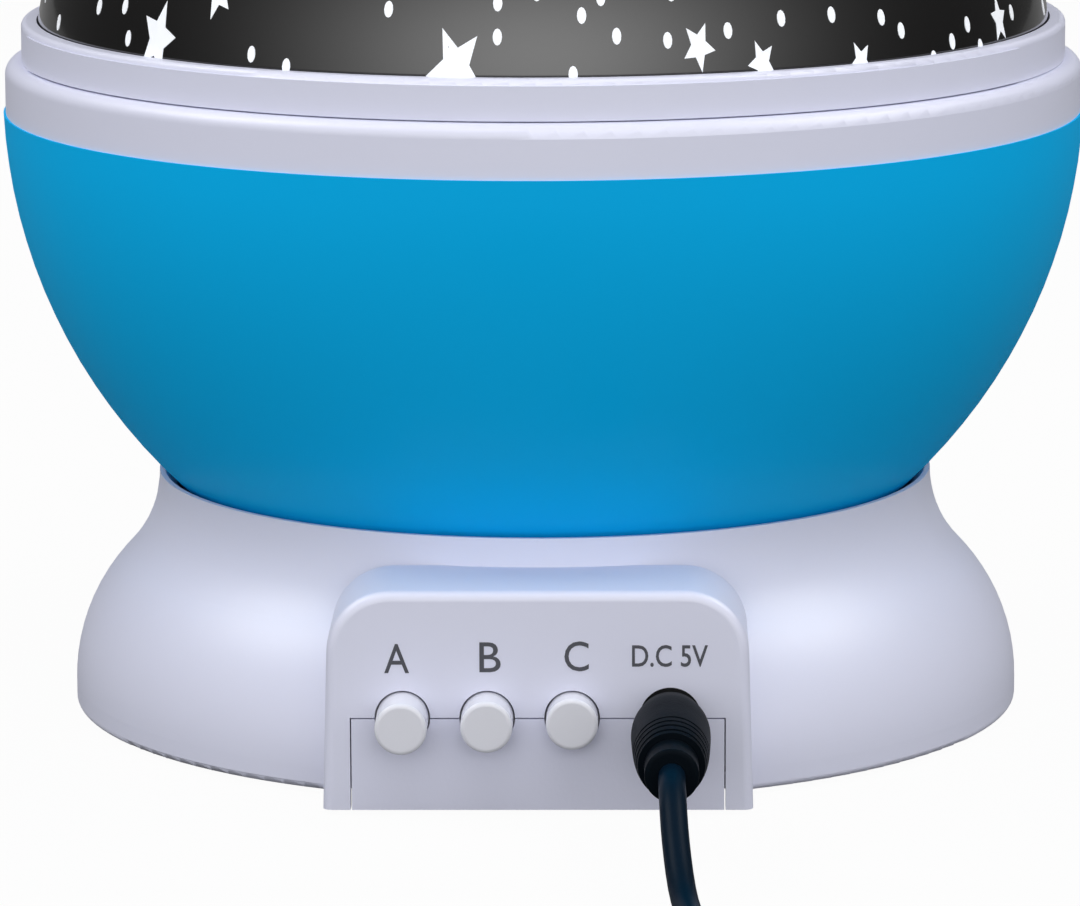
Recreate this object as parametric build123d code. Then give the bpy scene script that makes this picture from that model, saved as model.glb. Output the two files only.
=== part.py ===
"""Rotating star-projector night light, built from its separate pieces.

A round foot with a control panel holds the batteries, the board and a gear motor. A ball stands in
the foot's rim and turns about +Z: a blue bowl below, a white ring, and a black dome with star
windows that lifts off. Four lamps stand still on a post at the ball's centre and throw the stars.
Millimetres, +Z up. The origin is on the surface that the lamp stands on, under the axis of the ball.
The control panel faces -Y.
"""

import os
from math import asin, atan2, cos, degrees, hypot, pi, radians, sin, sqrt, tan

from build123d import *

# ---- Driving sizes ------------------------------------------------------------------------------

# Ball: bowl and dome share one centre, on the axis, where the bowl seats in the foot's rim.
bowl_r = 65.0
bowl_wall = 2.0
bowl_bottom_z = 24.2
bowl_rim_drop = 2.3
bowl_heel_r = 1.5

# White ring between bowl and dome: how far it sets in from the bowl, and its top above the centre.
band_step = 0.3
band_rise = 3.9
band_wall = 2.2
band_edge_r = 1.6
tongue_depth = 3.5
tongue_wall = 1.8
seat_wall = 1.5
seat_reach = 2.6
neck_height = 1.0

# Dome and the collar that carries it, each set in from the piece below.
dome_step = 1.4
mask_wall = 0.4
mask_rim = 0.5
lens_wall = 1.7
collar_step = 2.0
collar_rise = 8.7
collar_lip = 0.8
collar_edge_r = 0.7
collar_skirt = 1.4
dome_flange = 2.1
grip_step = 0.25
grip_arc = 137.0
grip_middle = -96.5
lug_count = 3
lug_width = 3.0
lug_reach = 1.4
grip_root = 0.5

# Foot housing: a convex toe that runs into a hollow neck, which ends in a thin lip under the bowl.
foot_r = 57.4
foot_spread = 10.5
foot_low_z = 0.5
toe_z = 3.2
toe_arc_r = 22.0
rim_z = 29.0
rim_lip = 0.64
foot_wall = 2.0
foot_edge_r = 0.8
deck_top_z = 19.0
deck_wall = 1.8
bowl_gap = 0.45
shaft_gap = 0.7

# Control panel, an arch that stands proud of the foot.
panel_proud = 3.6
panel_half = 24.4
panel_top_half = 23.7
panel_top_z = 25.7
panel_corner_r = 7.2
panel_edge_r = 1.1
panel_wall = 2.0
split_z = 11.2
split_half = 21.25
split_depth = 6.0
seam = 0.15

# Bottom cover.
cover_plate = 2.0
cover_gap = 0.25
screw_inset = 12.4
screw_turns = (20, 160, 200, 340)
boss_r = 3.6
screw_shank_r = 1.4
screw_head_r = 2.7
screw_head = 1.3
screw_length = 11.0
cover_boss = 1.5
head_room = 0.2
head_gap = 0.3
cradle_grip = 2.2
cradle_wall = 1.2
cradle_depth = 2.0
cradle_rise = 5.0
pad_inset = 10.4
pad_r = 4.5
pad_height = 1.3

# Battery bay for four cells side by side.
cell_r = 5.25
cell_count = 4
cell_length = 44.5
bay_wall = 1.6
bay_contact_room = 4.5
bay_gearbox_gap = 3.5
contact_sheet = 0.4
contact_half = 4.5
contact_root = 2.6
contact_tip = 0.6
contact_reach = 1.9
contact_width = 6.8
bay_play = 0.5
door_wall = 1.6
door_ledge = 3.0
door_gap = 0.3
ear_reach = 8.0
ear_width = 11.0
ear_wall = 1.2
ear_hole_inset = 3.5
ear_corner_r = 3.0
door_boss = 5.0
door_head = 0.6
door_screw_length = 5.0
door_screw_play = 0.35
thumb_groove = (10.0, 1.0, 0.5)
thumb_groove_count = 3
thumb_groove_set = 4.0
hook_x = 12.0
hook_width = 5.0
hook_root = 2.0
hook_reach = 2.4
hook_wall = 1.15

# Push buttons: place across the panel, and how far each face stands out of it.
button_x = {"a": -15.3, "b": -5.7, "c": 3.9}
button_reach = {"a": 6.0, "b": 5.0, "c": 3.6}
button_cap = {"a": 8.1, "b": 7.1, "c": 8.1}
button_r = 2.95
button_edge_r = 0.5
button_hole_r = 3.15
button_flange_r = 3.9
button_flange = 1.0
plunger_r = 1.2
plunger_length = 5.6

# Control board with the switches and the power socket on it.
board_set_back = 15.0
board_wall = 1.6
board_half = 21.5
board_low_z = 4.2
board_top_z = 17.0
switch_size = 7.0
switch_depth = 8.0
switch_nose = 1.5
switch_nose_half = 2.7
switch_bore_r = 1.45
switch_bore = 6.2
jack_x = 15.0
jack_half = 3.9
jack_nose_r = 3.3
jack_nose = 4.0
jack_bore_r = 1.8
jack_bore = 10.0
jack_hole_r = 3.5
jack_pin_r = 0.5
jack_pin_set = 1.5
socket_size = (7.0, 3.4, 3.6)
socket_x = 12.0
socket_z = 10.0

# Gear train: a wheel under the bowl, driven by a pinion on the motor.
gear_module = 1.0
wheel_teeth = 56
pinion_teeth = 12
pressure_angle = 20.0
backlash = 0.12
wheel_low_z = 20.75
wheel_rim_wall = 3.2
wheel_web = 2.0
root_share = 1.25
hub_r = 9.0
hub_top_z = 27.5
hub_screw_ring_r = 17.0
hub_screw_turns = (30, 150, 270)
hub_screw_r = 1.25
hub_screw_head_r = 2.5
hub_screw_head = 1.4
hub_screw_play = 0.2
pinion_low_z = 20.2
pinion_top_z = 23.6
shaft_r = 1.5
shaft_play = 0.05
shaft_low_z = 12.5
gearbox_half = (13.0, 7.5)
gearbox_height = 11.5
gearbox_corner_r = 1.5
gearbox_ears = ((15.5, 0.0), (-7.0, 10.0))
gearbox_ear_r = 3.0
gearbox_ear_wall = 2.5
motor_r = 6.0
motor_flat = 5.0
motor_length = 14.0
motor_tail = 1.2
motor_tail_r = 2.2
motor_drop = 0.5
motor_shift = 1.0

# Lamp post that stands still inside the turning ball.
post_r = 6.0
post_bore_r = 4.0
post_flange_r = 14.0
post_flange = 1.2
post_screw_ring_r = 11.4
post_screw_turns = (90, 210, 330)
post_screw_r = 1.0
post_screw_head_r = 1.9
post_screw_head = 1.1
post_play = 0.06
washer_r = 8.6
washer_wall = 0.5
clip_wall = 0.8
clip_r = 9.0
clip_groove = 0.8
clip_mouth = 3.2
lamp_board_z = 68.0
lamp_board_r = 11.0
lamp_board_wall = 1.4
holder_wall = 1.5
holder_socket = 8.0
holder_edge = 0.5
lamp_r = 2.5
lamp_flange_r = 2.9
lamp_flange = 1.0
lamp_height = 8.6
lamp_ring_r = 4.6
reflector_wall = 1.5
reflector_rise = 2.0
reflector_swell = 0.75
reflector_hole_r = 13.6

# Wires inside.
ribbon_size = (5.0, 1.0)
ribbon_bend_r = 2.5
wire_r = 0.55
wire_play = 0.25
lead_split = 0.8
lead_bend_r = 2.5
lead_clear = 5.0
lead_rise = 6.0
lead_out = 8.0
lead_slope = 9.0
lead_past = 1.0
lead_end = 4.0
short_bend_r = 1.2
lead_drop = 2.2
# How far each battery lead is on its way from the bay to the board where it turns, and lands.
lead_turns = {1: (0.19, 0.41), -1: (0.34, 0.56)}

# Power lead: moulded plug, cord, coil and USB plug.
cord_r = 1.5
plug_length = 28.0
plug_neck_r = 2.4
plug_front_r = 3.1
plug_belly_r = 4.4
plug_waist_r = 3.7
plug_tail_r = 3.0
plug_tail = 5.0
plug_shoulder = 1.5
plug_edge_r = 0.5
plug_swell = 0.16
plug_groove = 0.25
plug_groove_width = 0.5
plug_groove_set = 1.2
plug_groove_step = 1.5
plug_groove_count = 4
# Bands in front of the plug's belly: how far each ends behind the front, and its radius there.
plug_bands = ((2.2, 3.72), (4.6, 4.1))
plug_band_step = 0.14
barrel_r = 1.75
barrel_bore_r = 0.65
barrel_length = 9.3
barrel_root = 2.0
coil_centre = (0.0, -180.0)
coil_middle_r = 16.5
coil_pitch = 3.05
coil_columns = 4
coil_rows = 4
arc_share = 0.45
tie_wall = 0.5
tie_width = 6.0
tie_edge_r = 1.2
usb_size = (21.0, 15.6, 7.9)
usb_edge_r = 1.6
usb_relief = 7.5
usb_relief_walls = (0.7, 1.7)
usb_shell_size = (18.6, 12.0, 4.5)
usb_shell_wall = 0.35
usb_shell_edge_r = 0.5
usb_window = (2.2, 2.4)
usb_window_set = (12.0, 2.9)
usb_tongue_wall = 1.8
usb_tongue_length = 16.5
usb_tongue_set = 1.0

# Star windows in the dome's lowest row: turn from the front, height over the centre, tip radius, lean.
front_stars = (
    (-45.8, 10.9, 3.0, -14),
    (-37.5, 16.7, 2.2, 20),
    (-8.4, 9.6, 3.4, 28),
    (17.6, 11.7, 1.95, -28),
    (24.7, 9.6, 1.8, 24),
    (37.1, 8.8, 1.7, 28),
)
back_star_turns = range(62, 302, 20)
back_star_rise = 11.2
# Rows above: elevation about the ball's centre, and how many stars.
star_rows = ((22, 15), (35, 13), (48, 10), (61, 7), (74, 4))
star_r = 1.9
star_points = 5
star_waist = 0.46
# How much taller than wide a star is drawn.
star_stretch = 1.5
star_cut = 3.0
# How the stars sway up and down, swell and lean along their rows.
star_sway = 3.0
star_sway_beat = 2.4
star_swell = 0.25
star_swell_beat = 1.7
star_lean = 23.0
back_star_lean = 17.0

# ---- Sizes that follow --------------------------------------------------------------------------

bore_room = 0.05
end_play = 0.1
tight_gap = 0.02
slip_gap = 0.3
neck_r = foot_r - foot_spread
ball_z = rim_z + sqrt((bowl_r + bowl_gap) ** 2 - (neck_r - rim_lip) ** 2)
bowl_rim_z = ball_z - bowl_rim_drop
band_r = bowl_r - band_step
band_top_z = ball_z + band_rise
collar_r = band_r - collar_step
collar_top_z = ball_z + collar_rise
dome_r = collar_r - dome_step
panel_y = -foot_r - panel_proud
board_y = panel_y + board_set_back
screw_ring_r = foot_r - screw_inset
pad_ring_r = foot_r - pad_inset
dome_floor_z = collar_top_z - collar_lip - end_play - dome_flange
neck_top_z = band_top_z + neck_height
lens_r = dome_r - mask_wall - bore_room
lens_flange_r = collar_r - collar_skirt - bore_room
lip_r = dome_r - 0.45
deck_low_z = deck_top_z - deck_wall
cover_top_z = foot_low_z + cover_plate
screw_seat_z = foot_low_z + screw_head + head_room
cover_r = foot_r - foot_wall - cover_gap
wheel_r = gear_module * wheel_teeth / 2
pinion_r = gear_module * pinion_teeth / 2
pinion_y = wheel_r + pinion_r
wheel_top_z = bowl_bottom_z
flange_top_z = deck_top_z + post_flange
motor_y = pinion_y - motor_shift
motor_z = deck_low_z - gearbox_height / 2 - motor_drop
bay_half_x = cell_r * cell_count + bay_play
bay_high_y = pinion_y - gearbox_half[1] - bay_gearbox_gap
bay_low_y = bay_high_y - cell_length - bay_contact_room
bay_top_z = foot_low_z + door_wall + 2 * cell_r + 2 * bay_play
door_high_y = bay_high_y - door_ledge
board_back_y = board_y + board_wall
coil_outer_r = coil_middle_r + coil_pitch * (coil_columns - 1) / 2
coil_inner_r = coil_middle_r - coil_pitch * (coil_columns - 1) / 2
coil_height = coil_pitch * (coil_rows - 1) + 2 * cord_r
plug_y = panel_y + panel_wall + 0.2
plug_end_y = panel_y - plug_length

# The cord's route from the plug to its coil, and from the coil to the USB plug.
cord_route = (
    (15.0, plug_end_y, split_z),
    (15.0, -93.5, split_z),
    (15.3, -99.5, 6.6),
    (16.2, -107.5, 1.6),
    (17.8, -119.0, 1.5),
    (20.2, -135.0, 1.5),
    (21.3, -155.0, 1.7),
    (21.1, -173.0, 2.0),
)
tail_route = (
    (-7.5, -201.1, 11.1),
    (-14.0, -201.4, 10.3),
    (-21.0, -202.6, 7.2),
    (-28.0, -203.5, 4.0),
    (-34.0, -203.5, 4.0),
)


# ---- Ways of making ------------------------------------------------------------------------------


def turned(*outline):
    """A solid turned about Z, from a closed outline of (radius, height) points and edges."""
    edges = []
    for item in outline:
        edges.append(item)
    face = make_face(edges)
    return revolve(Plane.XZ * face, Axis.Z)


def outline(*points):
    """The closed run of straight edges through the points."""
    return Polyline(*points, close=True).edges()


def tube(r_out, r_in, z_low, z_high):
    """A plain ring about Z."""
    return Pos(0, 0, z_low) * extrude(Circle(r_out) - Circle(r_in), z_high - z_low)


def disc(radius, z_low, z_high):
    """A plain disc about Z."""
    return Pos(0, 0, z_low) * extrude(Circle(radius), z_high - z_low)


def block(x_low, x_high, y_low, y_high, z_low, z_high):
    """A square-edged block between two corners."""
    centre = Pos((x_low + x_high) / 2, (y_low + y_high) / 2, (z_low + z_high) / 2)
    return centre * Box(x_high - x_low, y_high - y_low, z_high - z_low)


def across(radius, x, z, y_low, y_high):
    """A round bar that runs along +Y."""
    return Pos(x, y_low, z) * Rot(-90, 0, 0) * extrude(Circle(radius), y_high - y_low)


def around(turn, radius, z=0.0):
    """A place on a circle about Z, counted from +X, and turned to face outwards."""
    return Rot(0, 0, turn) * Pos(radius, 0, z)


def ball(radius):
    """A whole sphere about the ball's centre."""
    return Pos(0, 0, ball_z) * Sphere(radius)


def sphere_r(radius, z):
    """The radius about Z of a sphere round the ball's centre, at a height."""
    return sqrt(radius**2 - (z - ball_z) ** 2)


def slab(z_low, z_high):
    """Everything between two heights."""
    return block(-200, 200, -260, 200, z_low, z_high)


def screw(shank_r, head_r, head, length):
    """A pan-head screw on Z: the head's seat is at zero and the shank points up."""
    top = Pos(0, 0, -head) * extrude(Circle(head_r), head)
    top = fillet(top.faces().sort_by(Axis.Z)[0].edges(), head * 0.4)
    return top + extrude(Circle(shank_r), length)


def save(solid, name):
    """Writes one piece, or a group of like pieces, as its own file."""
    solid.label = name
    export_step(solid, f"parts/{name}.step")


def save_group(solids, name):
    """Writes like pieces that stay separate solids."""
    save(Compound(children=[s for item in solids for s in item.solids()]), name)


# ---- Foot housing --------------------------------------------------------------------------------


def foot_form(inset):
    """The foot's round form, set in by a wall: toe arc and neck arc meet in one tangent."""
    drop = foot_r - neck_r
    rise = rim_z - toe_z
    neck_arc_r = (drop**2 + rise**2) / (2 * drop) - toe_arc_r
    lean = degrees(atan2(rise, neck_arc_r + toe_arc_r - drop))
    toe = CenterArc((foot_r - toe_arc_r, toe_z), toe_arc_r - inset, 0, lean)
    neck = CenterArc((neck_r + neck_arc_r, rim_z), neck_arc_r + inset, 180 + lean, -lean)
    side_r = foot_r - inset
    top_r = neck_r - inset
    rest = Polyline((top_r, rim_z), (0, rim_z), (0, foot_low_z), (side_r, foot_low_z), (side_r, toe_z))
    return turned(toe, neck, *rest.edges())


def panel_form(inset, y_low, y_high):
    """The panel's arch, set in by a wall, between two depths."""
    low_z = foot_low_z - inset
    arch = Polygon(
        (-panel_half + inset, low_z),
        (panel_half - inset, low_z),
        (panel_top_half - inset, panel_top_z - inset),
        (-panel_top_half + inset, panel_top_z - inset),
        align=None,
    )
    corners = arch.vertices().sort_by(Axis.Y)[-2:]
    arch = fillet(corners, panel_corner_r - inset)
    return Pos(0, y_high, 0) * extrude(Plane.XZ * arch, y_high - y_low)


def panel_block():
    """The arch as it stands on the foot, with its front edge rounded."""
    form = panel_form(0, panel_y, board_y)
    front = form.faces().sort_by(Axis.Y)[0]
    rounded = [e for e in front.edges() if e.center().Z > foot_low_z + 1]
    return fillet(rounded, panel_edge_r)


def button_holes():
    """Round ways through the panel for the buttons and the plug."""
    sizes = [(x, button_hole_r) for x in button_x.values()] + [(jack_x, jack_hole_r)]
    return [across(r, x, split_z, panel_y - 1, panel_y + panel_wall + 1) for x, r in sizes]


def make_base_housing():
    """Foot, neck, deck and panel in one moulding."""
    foot = foot_form(0)
    toe = foot.edges().filter_by(GeomType.CIRCLE).sort_by(Axis.Z)[0]
    foot = fillet(toe, foot_edge_r)
    panel = panel_form(panel_wall, panel_y + panel_wall, board_back_y + 1)
    under = foot_form(foot_wall) & slab(0, deck_low_z)
    dish = foot_form(foot_wall) & slab(deck_top_z, rim_z + 1)
    pocket = panel - foot_form(0)
    panel_void = panel & slab(0, deck_low_z)
    body = foot + panel_block() - under - dish - pocket - panel_void
    body -= ball(bowl_r + bowl_gap) & slab(deck_top_z, rim_z + 1)
    for turn in screw_turns:
        post = around(turn, screw_ring_r, cover_top_z + cover_boss)
        height = deck_low_z - cover_top_z - cover_boss
        body += post * extrude(Circle(boss_r), height)
        body -= post * extrude(Circle(screw_shank_r + bore_room), screw_length)
    notch_y = (panel_y - 1, panel_y + split_depth)
    body -= block(-split_half, split_half, *notch_y, foot_low_z - 1, split_z)
    for way in button_holes():
        body -= way
    body -= disc(post_bore_r, deck_low_z - 1, deck_top_z + 1)
    body -= Pos(0, pinion_y, 0) * disc(shaft_r + shaft_gap, deck_low_z - 1, deck_top_z + 1)
    deck_hole = disc(post_screw_r + bore_room, deck_low_z - 1, deck_top_z + 1)
    for x, y in gearbox_ears:
        body -= Pos(x, pinion_y + y, 0) * deck_hole
    for turn in post_screw_turns:
        body -= around(turn, post_screw_ring_r) * deck_hole
    return body


# ---- Bottom cover --------------------------------------------------------------------------------


def board_cradle(side):
    """A slotted post that holds one end of the control board."""
    post_x = (board_half - cradle_grip, board_half + cradle_wall)
    post_y = (board_y - cradle_depth, board_back_y + cradle_depth)
    slot_y = (board_y - bore_room, board_back_y + bore_room)
    post = block(*post_x, *post_y, cover_top_z, board_low_z + cradle_rise)
    cradle = post - block(0, board_half + seam, *slot_y, board_low_z, board_top_z)
    return cradle if side > 0 else mirror(cradle, about=Plane.YZ)


def make_base_cover():
    """Bottom plate with the battery bay, and the tongue that closes the panel's lower half."""
    plate = disc(cover_r, foot_low_z, cover_top_z)
    apron_half = split_half - seam
    plate += block(-apron_half, apron_half, panel_y, board_y, foot_low_z, cover_top_z)
    tongue = block(-apron_half, apron_half, panel_y, panel_y + panel_wall, foot_low_z, split_z - seam)
    bay = block(
        -bay_half_x - bay_wall,
        bay_half_x + bay_wall,
        bay_low_y - bay_wall,
        bay_high_y + bay_wall,
        foot_low_z,
        bay_top_z + bay_wall,
    )
    body = plate + tongue + bay
    ear_end = bay_low_y - bay_wall - ear_reach
    ear_hole = Pos(0, ear_end + ear_hole_inset, 0)
    body += ear_hole * disc(boss_r, foot_low_z, cover_top_z + door_boss)
    for turn in screw_turns:
        body += around(turn, screw_ring_r) * disc(boss_r, cover_top_z, cover_top_z + cover_boss)
    body -= block(-bay_half_x, bay_half_x, bay_low_y, bay_high_y, cover_top_z, bay_top_z)
    body -= block(-bay_half_x, bay_half_x, bay_low_y, door_high_y, foot_low_z - 1, cover_top_z + 1)
    ear_half = ear_width / 2 + door_gap
    ear_top = foot_low_z + ear_wall + seam
    body -= block(-ear_half, ear_half, ear_end - door_gap, bay_low_y + 1, foot_low_z - 1, ear_top)
    body -= ear_hole * disc(screw_shank_r + door_screw_play, foot_low_z - 1, cover_top_z + door_boss - 1)
    for turn in screw_turns:
        place = around(turn, screw_ring_r)
        body -= place * disc(screw_shank_r + bore_room, foot_low_z - 1, cover_top_z + cover_boss + 1)
        body -= place * disc(screw_head_r + head_gap, foot_low_z - 1, screw_seat_z)
    for turn in range(45, 405, 90):
        body -= around(turn, pad_ring_r) * disc(pad_r + bore_room, -1, pad_height)
    for way in button_holes():
        body -= way
    for side in (-1, 1):
        body += board_cradle(side)
    for side in (-1, 1):
        x = side * (bay_half_x - cell_r)
        way_y = (bay_low_y - bay_wall - 1, bay_low_y + 1)
        body -= across(wire_r + wire_play, x, bay_top_z - lead_drop, *way_y)
    return body


def make_foot_pads():
    """Four rubber feet in their recesses."""
    return [around(turn, pad_ring_r) * disc(pad_r, 0, pad_height) for turn in range(45, 405, 90)]


def make_cover_screws():
    """Four screws up through the cover into the housing's posts."""
    one = screw(screw_shank_r, screw_head_r, screw_head, screw_length)
    return [around(turn, screw_ring_r, screw_seat_z) * one for turn in screw_turns]


# ---- Battery bay: contacts, door and its screw ---------------------------------------------------


def cell_places():
    """The middle of each cell across the bay."""
    return [cell_r * (2 * i + 1 - cell_count) for i in range(cell_count)]


def make_contact(low_end):
    """A pressed spring leaf, seen from the side, and as wide as its cell allows."""
    mid_z = foot_low_z + door_wall + cell_r + bay_play
    leaf = Polyline(
        (0, mid_z - contact_half),
        (0, mid_z + contact_half),
        (contact_sheet, mid_z + contact_half),
        (contact_sheet, mid_z + contact_root),
        (contact_reach, mid_z + contact_tip),
        (contact_reach, mid_z - contact_tip),
        (contact_sheet, mid_z - contact_root),
        (contact_sheet, mid_z - contact_half),
        close=True,
    )
    solid = extrude(Plane.YZ * make_face(leaf.edges()), contact_width / 2, both=True)
    if low_end:
        return Pos(0, bay_low_y, 0) * solid
    return Pos(0, bay_high_y, 0) * mirror(solid, about=Plane.XZ)


def make_battery_contacts():
    """Eight contact leaves, two to a cell."""
    ends = (True, False)
    return [Pos(x, 0, 0) * make_contact(end) for x in cell_places() for end in ends]


def make_battery_door():
    """Door plate with two hooked tabs at its hinge edge and a screw ear at the other."""
    low_y = bay_low_y + door_gap
    high_y = door_high_y - door_gap
    half = bay_half_x - door_gap
    top_z = foot_low_z + door_wall
    edge_r = door_wall / 2
    door = block(-half, half, low_y, high_y - edge_r, foot_low_z, top_z)
    hinge_edge = Rot(0, 90, 0) * extrude(Circle(edge_r), half, both=True)
    door += Pos(0, high_y - edge_r, foot_low_z + edge_r) * hinge_edge
    ear_end = bay_low_y - bay_wall - ear_reach
    ear_half = ear_width / 2
    ear = block(-ear_half, ear_half, ear_end, low_y + 1, foot_low_z, foot_low_z + ear_wall)
    ear = fillet([e for e in ear.edges().filter_by(Axis.Z) if e.center().Y < ear_end + 1], ear_corner_r)
    door += ear
    hook_low_z = cover_top_z + seam
    hook_top_z = hook_low_z + hook_wall
    for side in (-1, 1):
        x_low = side * hook_x - hook_width / 2
        x_high = side * hook_x + hook_width / 2
        door += block(x_low, x_high, high_y - hook_root, high_y, top_z, hook_top_z)
        door += block(x_low, x_high, high_y - hook_root, high_y + hook_reach, hook_low_z, hook_top_z)
    groove_length, groove_width, groove_depth = thumb_groove
    for row in range(thumb_groove_count):
        y = low_y + thumb_groove_set + 2 * groove_width * row
        groove_x = (-groove_length / 2, groove_length / 2)
        door -= block(*groove_x, y, y + groove_width, foot_low_z - 1, foot_low_z + groove_depth)
    ear_hole = Pos(0, ear_end + ear_hole_inset, 0)
    door -= ear_hole * disc(screw_shank_r + bore_room, foot_low_z - 1, top_z + 1)
    door -= ear_hole * disc(screw_head_r + head_room, foot_low_z - 1, foot_low_z + door_head)
    return door


def make_door_screw():
    """The captive screw in the door's ear."""
    ear_end = bay_low_y - bay_wall - ear_reach
    one = screw(screw_shank_r, screw_head_r, door_head, door_screw_length)
    return Pos(0, ear_end + ear_hole_inset, foot_low_z + door_head) * one


# ---- Board, switches, buttons and socket ---------------------------------------------------------


def make_control_board():
    """The upright circuit board behind the panel."""
    return block(-board_half, board_half, board_y, board_back_y, board_low_z, board_top_z)


def make_push_switches():
    """Three switch bodies on the board, with a bore for each plunger."""
    half = switch_size / 2
    front_y = board_y - switch_depth
    switches = []
    for x in button_x.values():
        body = block(x - half, x + half, front_y + switch_nose, board_y, split_z - half, split_z + half)
        low, high = split_z - switch_nose_half, split_z + switch_nose_half
        nose_x = (x - switch_nose_half, x + switch_nose_half)
        body += block(*nose_x, front_y, front_y + switch_nose, low, high)
        body -= across(switch_bore_r, x, split_z, front_y - 1, front_y + switch_bore)
        switches.append(body)
    return switches


def flange_y(name):
    """Front of the button's inner flange at rest."""
    return panel_y - button_reach[name] + button_cap[name]


def make_button(name):
    """A round cap with a retaining flange inside the panel and a socket for its plunger."""
    x = button_x[name]
    face_y = panel_y - button_reach[name]
    cap = across(button_r, x, split_z, face_y, flange_y(name))
    cap = fillet(cap.edges().sort_by(Axis.Y)[0], button_edge_r)
    cap += across(button_flange_r, x, split_z, flange_y(name), flange_y(name) + button_flange)
    socket = across(plunger_r, x, split_z, flange_y(name) - 1, flange_y(name) + button_flange + 1)
    return cap - socket


def make_plunger(name):
    """The switch's own plunger, pushed by the cap."""
    start = flange_y(name) - 1
    x = button_x[name]
    return across(plunger_r, x, split_z, start, start + plunger_length)


def make_dc_jack():
    """Power socket: square body, round nose, bore and centre pin."""
    nose_y = plug_y
    body_y = nose_y + jack_nose
    jack = block(
        jack_x - jack_half,
        jack_x + jack_half,
        body_y,
        board_y,
        split_z - jack_half,
        split_z + jack_half,
    )
    jack += across(jack_nose_r, jack_x, split_z, nose_y, body_y)
    jack -= across(jack_bore_r, jack_x, split_z, nose_y - 1, nose_y + jack_bore)
    jack += across(jack_pin_r, jack_x, split_z, nose_y + jack_pin_set, nose_y + jack_bore)
    return jack


def make_board_sockets():
    """Three wire sockets on the back of the board."""
    width, depth, height = socket_size
    places = ((-socket_x, socket_z), (0.0, board_top_z - height / 2), (socket_x, socket_z))
    sockets = []
    for x, z in places:
        sockets.append(
            block(
                x - width / 2,
                x + width / 2,
                board_back_y,
                board_back_y + depth,
                z - height / 2,
                z + height / 2,
            )
        )
    return sockets


# ---- Gear motor ----------------------------------------------------------------------------------


def gear_outline(teeth, play):
    """The closed outline of an involute gear, with a tooth pointing along +X."""
    pitch_r = gear_module * teeth / 2
    base_r = pitch_r * cos(radians(pressure_angle))
    tip_r = pitch_r + gear_module
    root_r = pitch_r - root_share * gear_module
    spread = tan(radians(pressure_angle)) - radians(pressure_angle)
    half_pitch = pi / (2 * teeth) - play / (2 * pitch_r)

    def flank_turn(radius):
        reach = max(radius, base_r)
        roll = sqrt((reach / base_r) ** 2 - 1)
        return half_pitch + spread - (roll - atan2(roll, 1))

    start_r = max(root_r, base_r)
    flank = [start_r + (tip_r - start_r) * step / 3 for step in range(4)]
    half_tooth = [(root_r, flank_turn(start_r))] if root_r < base_r else []
    half_tooth += [(radius, flank_turn(radius)) for radius in flank]
    points = []
    for tooth in range(teeth):
        middle = 2 * pi * tooth / teeth
        points += [(r, middle - turn) for r, turn in half_tooth]
        points += [(r, middle + turn) for r, turn in reversed(half_tooth)]
    return Polyline(*[(r * cos(a), r * sin(a)) for r, a in points], close=True)


def make_drive_gear():
    """Wheel under the bowl: toothed rim, thin web and a long hub that runs on the post."""
    teeth = make_face(gear_outline(wheel_teeth, backlash).edges())
    rim = Pos(0, 0, wheel_low_z) * extrude(teeth, wheel_top_z - wheel_low_z)
    rim_inner = wheel_r - root_share * gear_module - wheel_rim_wall
    wheel = rim - disc(rim_inner, wheel_low_z - 1, wheel_top_z - wheel_web)
    wheel += disc(hub_r, wheel_low_z, hub_top_z)
    wheel -= disc(post_r + post_play, wheel_low_z - 1, hub_top_z + 1)
    hole = disc(hub_screw_r + bore_room, wheel_low_z, wheel_top_z + 1)
    for turn in hub_screw_turns:
        wheel -= around(turn, hub_screw_ring_r) * hole
    return wheel


def make_drive_pinion():
    """Pinion in mesh with the wheel: a gap faces the wheel's tooth on the line of centres."""
    face = make_face(gear_outline(pinion_teeth, backlash).edges())
    pinion = Pos(0, 0, pinion_low_z) * extrude(face, pinion_top_z - pinion_low_z)
    pinion -= disc(shaft_r + tight_gap, pinion_low_z - 1, pinion_top_z + 1)
    half_tooth = 180 / pinion_teeth
    return Pos(0, pinion_y, 0) * Rot(0, 0, 90 + half_tooth) * pinion


def make_pinion_shaft():
    """Output shaft that stands in the gearbox."""
    return Pos(0, pinion_y, 0) * disc(shaft_r, shaft_low_z, pinion_top_z)


def make_gearbox():
    """Closed gearbox, hung under the deck by two ears."""
    half_x, half_y = gearbox_half
    low_z = deck_low_z - gearbox_height
    box = block(-half_x, half_x, pinion_y - half_y, pinion_y + half_y, low_z, deck_low_z)
    box = fillet(box.edges().filter_by(Axis.Z), gearbox_corner_r)
    ear_low = deck_low_z - gearbox_ear_wall
    for x, y in gearbox_ears:
        ear = SlotCenterToCenter(hypot(x, y), 2 * gearbox_ear_r)
        turn = degrees(atan2(y, x))
        middle = Pos(x / 2, pinion_y + y / 2, ear_low)
        box += middle * Rot(0, 0, turn) * extrude(ear, gearbox_ear_wall)
    for x, y in gearbox_ears:
        box -= Pos(x, pinion_y + y, 0) * disc(post_screw_r + bore_room, ear_low - 1, deck_low_z + 1)
    box -= Pos(0, pinion_y, 0) * disc(shaft_r + shaft_play, shaft_low_z - end_play, deck_low_z + 1)
    return box


def make_gearbox_screws():
    """Two screws up through the ears into the deck."""
    one = screw(post_screw_r, post_screw_head_r, post_screw_head, gearbox_ear_wall + deck_wall)
    seat_z = deck_low_z - gearbox_ear_wall
    return [Pos(x, pinion_y + y, seat_z) * one for x, y in gearbox_ears]


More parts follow.
